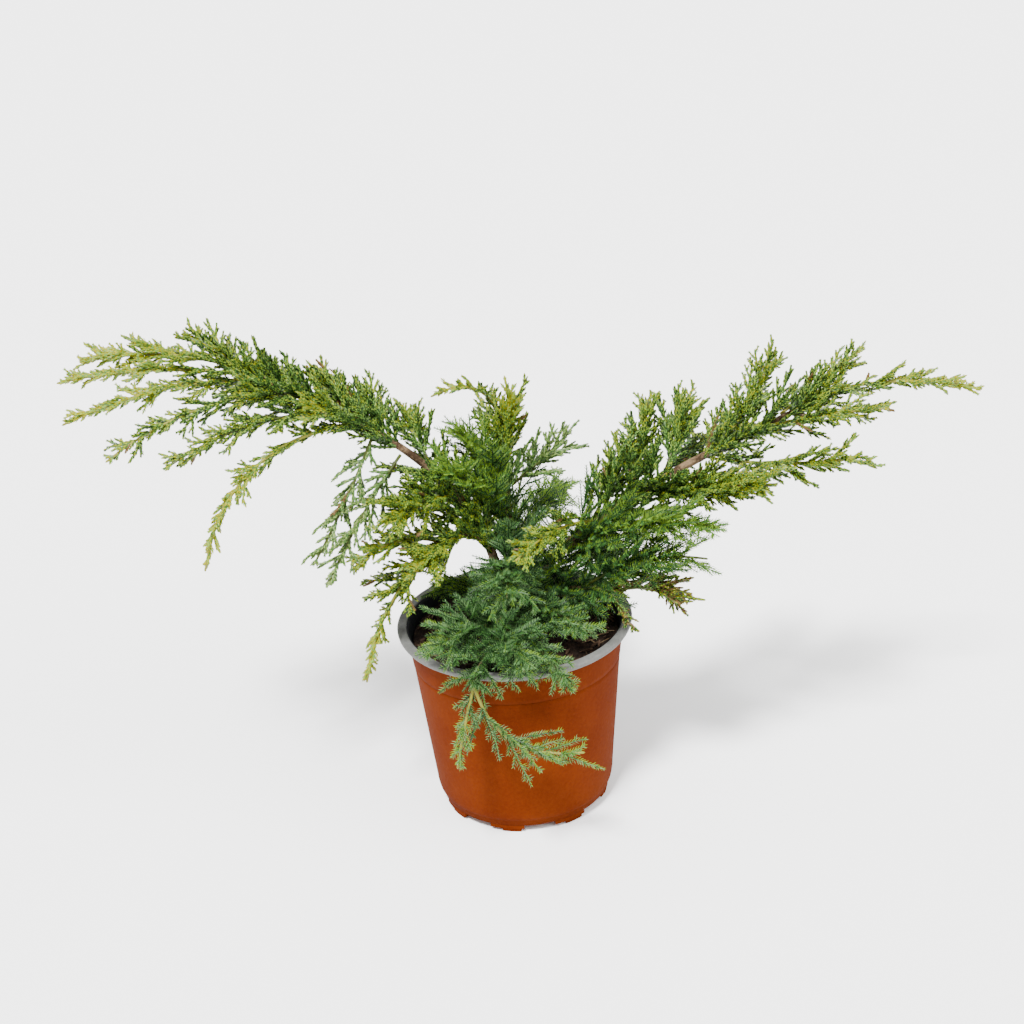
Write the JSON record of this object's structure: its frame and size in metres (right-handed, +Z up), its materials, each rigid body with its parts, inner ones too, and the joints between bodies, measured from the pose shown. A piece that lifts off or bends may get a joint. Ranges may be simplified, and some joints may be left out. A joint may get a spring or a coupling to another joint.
{
  "type": "potted spreading juniper",
  "caption": "Young gold-tipped spreading juniper with two long arching boughs and a drooping front, growing in a round terracotta-coloured nursery pot with a grey lip.",
  "frame": {"origin": "centre of the pot's flat underside", "axes": "+Z up along the pot's axis; +X towards the long right-hand bough; -Y towards the spray that hangs over the front of the pot"},
  "size_m": [0.6394, 0.2719, 0.3717],
  "materials": {
    "terracotta": "matt, slightly dusty",
    "lip_grey": "matt",
    "soil": "rough, moist",
    "bark": "rough bark",
    "gold": "leafy, satin",
    "lime": "leafy, satin",
    "green": "leafy, satin",
    "blue": "leafy, satin",
    "brown": "dry leafy"
  },
  "bodies": {
    "root": {"pot": "terracotta", "pot_lip": "lip_grey", "soil": "soil", "trunk": "bark", "left_bough": "bark", "right_bough": "bark", "low_left_bough": "bark", "low_right_bough": "bark", "front_bough": "bark", "back_bough": "bark", "left_tip_spray": "gold", "left_middle_spray": "gold", "left_lower_spray": "gold", "left_side_spray_a": "lime", "left_side_spray_b": "green", "left_hanging_spray": "gold", "left_crest_a": "lime", "left_crest_b": "green", "left_crest_c": "green", "left_crest_d": "green", "left_crest_e": "green", "left_cover_a": "green", "left_cover_b": "green", "left_back_spray_a": "green", "left_back_spray_b": "green", "weeping_spray_a": "blue", "weeping_spray_b": "blue", "weeping_spray_c": "lime", "golden_weeping_spray": "gold", "left_inner_spray": "lime", "low_inner_spray": "lime", "centre_tip_spray": "gold", "centre_top_spray": "gold", "centre_left_spray": "green", "centre_fan_spray": "green", "centre_right_spray": "blue", "centre_back_spray": "green", "back_left_spray": "green", "right_tip_spray": "gold", "right_crest_a": "lime", "right_crest_b": "lime", "right_crest_c": "green", "right_crest_d": "green", "right_crest_e": "green", "right_side_spray_a": "lime", "right_side_spray_b": "lime", "right_cover_spray": "green", "right_inner_spray": "green", "right_low_spray_a": "green", "right_low_spray_b": "brown", "right_back_spray_a": "green", "right_back_spray_b": "green", "lime_sprig": "lime", "front_spray_a": "blue", "front_spray_b": "blue", "front_left_spray": "blue", "front_right_spray": "blue", "front_middle_spray": "blue", "front_centre_spray": "blue", "front_upper_spray": "blue"}
  },
  "joints": []
}
